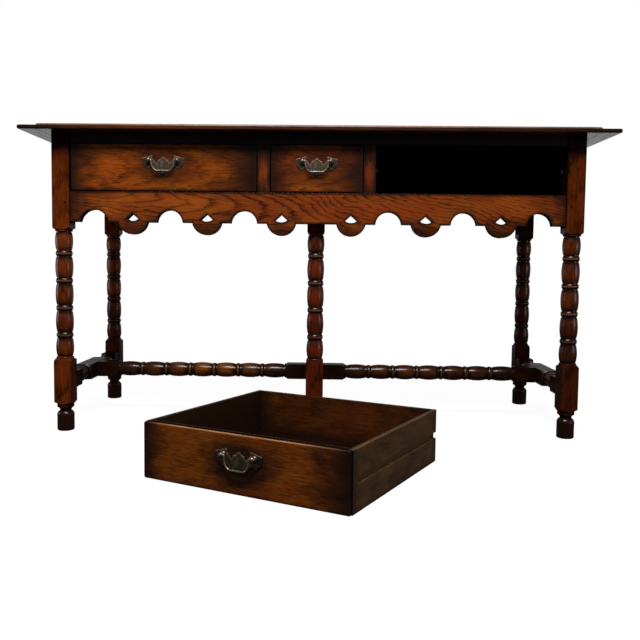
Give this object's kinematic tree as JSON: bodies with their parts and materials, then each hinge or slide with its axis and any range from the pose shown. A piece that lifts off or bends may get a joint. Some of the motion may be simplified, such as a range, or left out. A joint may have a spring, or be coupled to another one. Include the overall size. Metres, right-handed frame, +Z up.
{
  "type": "dresser base",
  "caption": "Oak dresser base with a plank top, bobbin-turned legs and stretchers, a pierced scalloped apron and side-hung drawers with bail handles; one drawer stands on the floor.",
  "frame": {"origin": "centre of the middle leg's sole, on the floor", "axes": "+X to the right along the front, +Y from front to back, +Z up"},
  "size_m": [1.523, 1.1675, 0.8],
  "materials": {
    "top_oak": "dark polished oak, worn edge",
    "frame_oak": "reddish brown polished oak, strong grain",
    "drawer_front_oak": "golden brown polished oak with darkened edges",
    "inside_oak": "dull dark stained oak",
    "handle_brass": "aged brass, dark in the hollows"
  },
  "bodies": {
    "carcase": {"apron": "frame_oak", "back_board": "frame_oak", "dust_board": "inside_oak", "end_cleats": "top_oak", "front_left_leg": "frame_oak", "front_right_leg": "frame_oak", "joint_pegs": "frame_oak", "left_bay_left_runner": "inside_oak", "left_bay_right_runner": "inside_oak", "left_bearer": "inside_oak", "left_guide": "inside_oak", "left_muntin": "frame_oak", "left_side_rail": "frame_oak", "left_side_stretcher": "frame_oak", "long_stretcher": "frame_oak", "middle_bay_left_runner": "inside_oak", "middle_bay_right_runner": "inside_oak", "middle_leg": "frame_oak", "middle_tie": "frame_oak", "rear_left_leg": "frame_oak", "rear_right_leg": "frame_oak", "right_bay_left_runner": "inside_oak", "right_bay_right_runner": "inside_oak", "right_bearer": "inside_oak", "right_guide": "inside_oak", "right_muntin": "frame_oak", "right_side_rail": "frame_oak", "right_side_stretcher": "frame_oak", "top_board_back": "top_oak", "top_board_front": "top_oak", "top_board_middle": "top_oak", "top_glue_blocks": "inside_oak", "top_rail": "frame_oak"},
    "left_drawer": {"left_drawer_back": "inside_oak", "left_drawer_bottom": "inside_oak", "left_drawer_front": "drawer_front_oak", "left_drawer_handle_nuts": "handle_brass", "left_drawer_handle_plate": "handle_brass", "left_drawer_handle_posts": "handle_brass", "left_drawer_left_side": "inside_oak", "left_drawer_right_side": "inside_oak"},
    "middle_drawer": {"middle_drawer_back": "inside_oak", "middle_drawer_bottom": "inside_oak", "middle_drawer_front": "drawer_front_oak", "middle_drawer_handle_nuts": "handle_brass", "middle_drawer_handle_plate": "handle_brass", "middle_drawer_handle_posts": "handle_brass", "middle_drawer_left_side": "inside_oak", "middle_drawer_right_side": "inside_oak"},
    "right_drawer": {"right_drawer_back": "inside_oak", "right_drawer_bottom": "inside_oak", "right_drawer_front": "drawer_front_oak", "right_drawer_handle_nuts": "handle_brass", "right_drawer_handle_plate": "handle_brass", "right_drawer_handle_posts": "handle_brass", "right_drawer_left_side": "inside_oak", "right_drawer_right_side": "inside_oak"},
    "left_bail": {"left_drawer_bail": "handle_brass"},
    "middle_bail": {"middle_drawer_bail": "handle_brass"},
    "right_bail": {"right_drawer_bail": "handle_brass"}
  },
  "joints": [
    {"name": "left_drawer_slide", "type": "slide", "parent": "carcase", "child": "left_drawer", "axis": [0, -1, 0], "range_m": [0, 0.36]},
    {"name": "left_bail_swing", "type": "hinge", "parent": "left_drawer", "child": "left_bail", "pos_m": [-0.39725, -0.061, 0.715], "axis": [-1, 0, 0], "range_deg": [0, 100]},
    {"name": "middle_drawer_slide", "type": "slide", "parent": "carcase", "child": "middle_drawer", "axis": [0, -1, 0], "range_m": [0, 0.36]},
    {"name": "middle_bail_swing", "type": "hinge", "parent": "middle_drawer", "child": "middle_bail", "pos_m": [0, -0.061, 0.715], "axis": [-1, 0, 0], "range_deg": [0, 100]},
    {"name": "right_drawer_lift", "type": "slide", "parent": "carcase", "child": "right_drawer", "axis": [0, 0, 1], "range_m": [0, 0.45]},
    {"name": "right_bail_swing", "type": "hinge", "parent": "right_drawer", "child": "right_bail", "pos_m": [-0.14352, -0.58543, 0.0795], "axis": [-0.8849, 0.4658, 0], "range_deg": [0, 100]}
  ]
}
